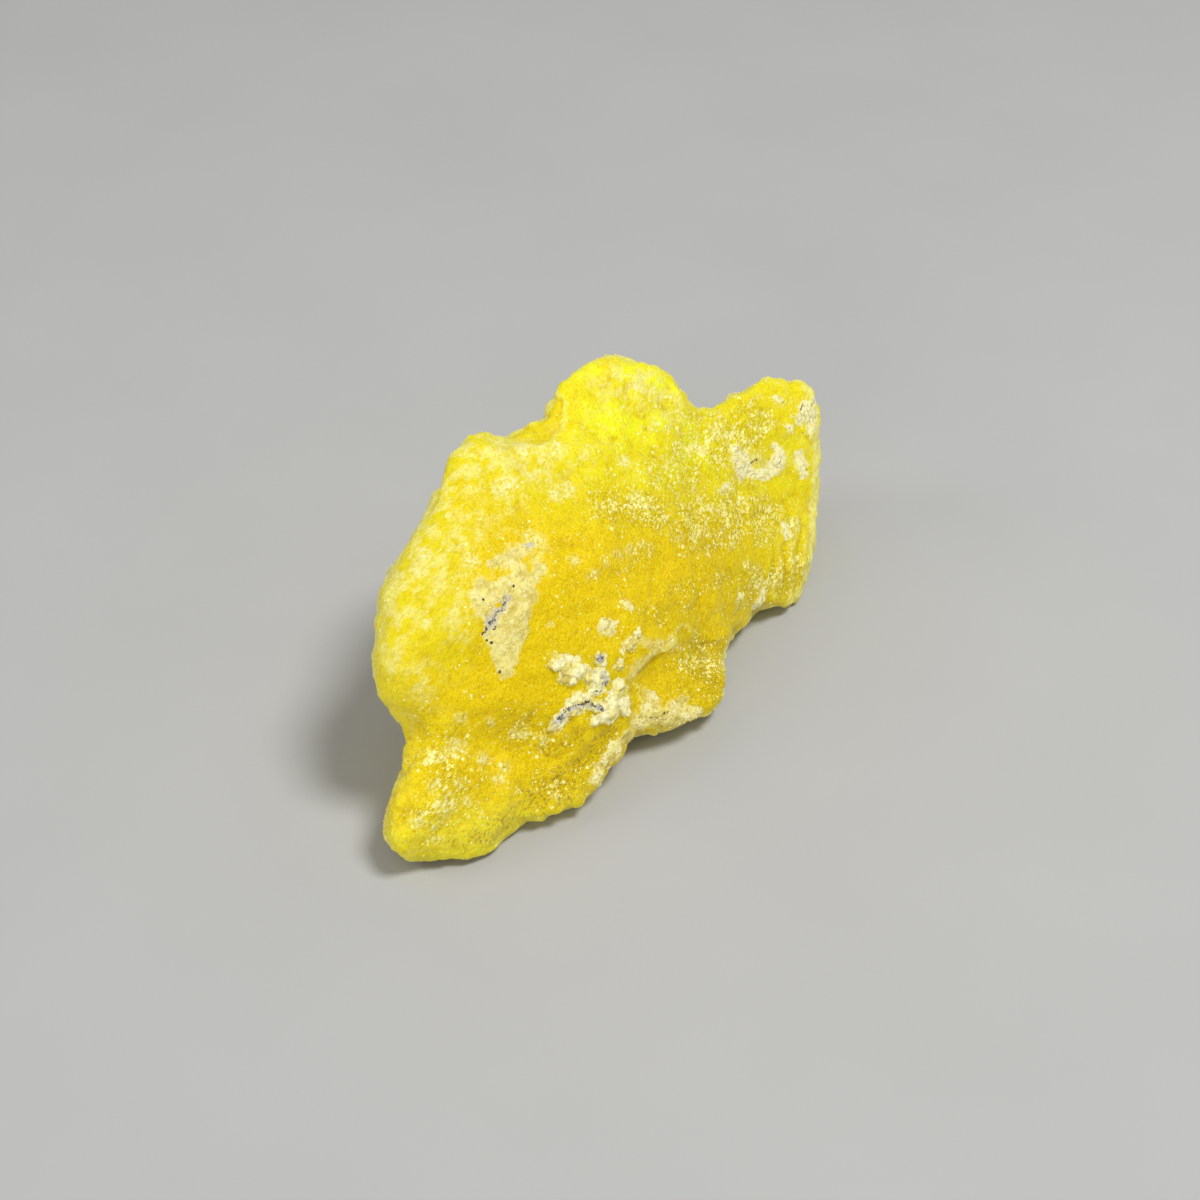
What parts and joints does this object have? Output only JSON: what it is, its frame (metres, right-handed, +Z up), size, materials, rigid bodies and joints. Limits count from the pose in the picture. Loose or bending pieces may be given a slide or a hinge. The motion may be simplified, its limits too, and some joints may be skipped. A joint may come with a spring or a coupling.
{
  "type": "brucite specimen",
  "caption": "Loose lump of translucent yellow brucite with lobed edges, a broken ledge and cream crust, resting on its broken underside.",
  "frame": {"origin": "centre of the footprint's bounding box, on the plane the lump rests on", "axes": "+X along the lump's length towards its broken arm, +Z up; the broad face with the ledge looks towards -Y and up"},
  "size_m": [0.0672, 0.0282, 0.0275],
  "materials": {
    "yellow_brucite": "translucent, waxy to fine-grained, with cream crust patches"
  },
  "bodies": {
    "root": {"brucite": "yellow_brucite"}
  },
  "joints": []
}
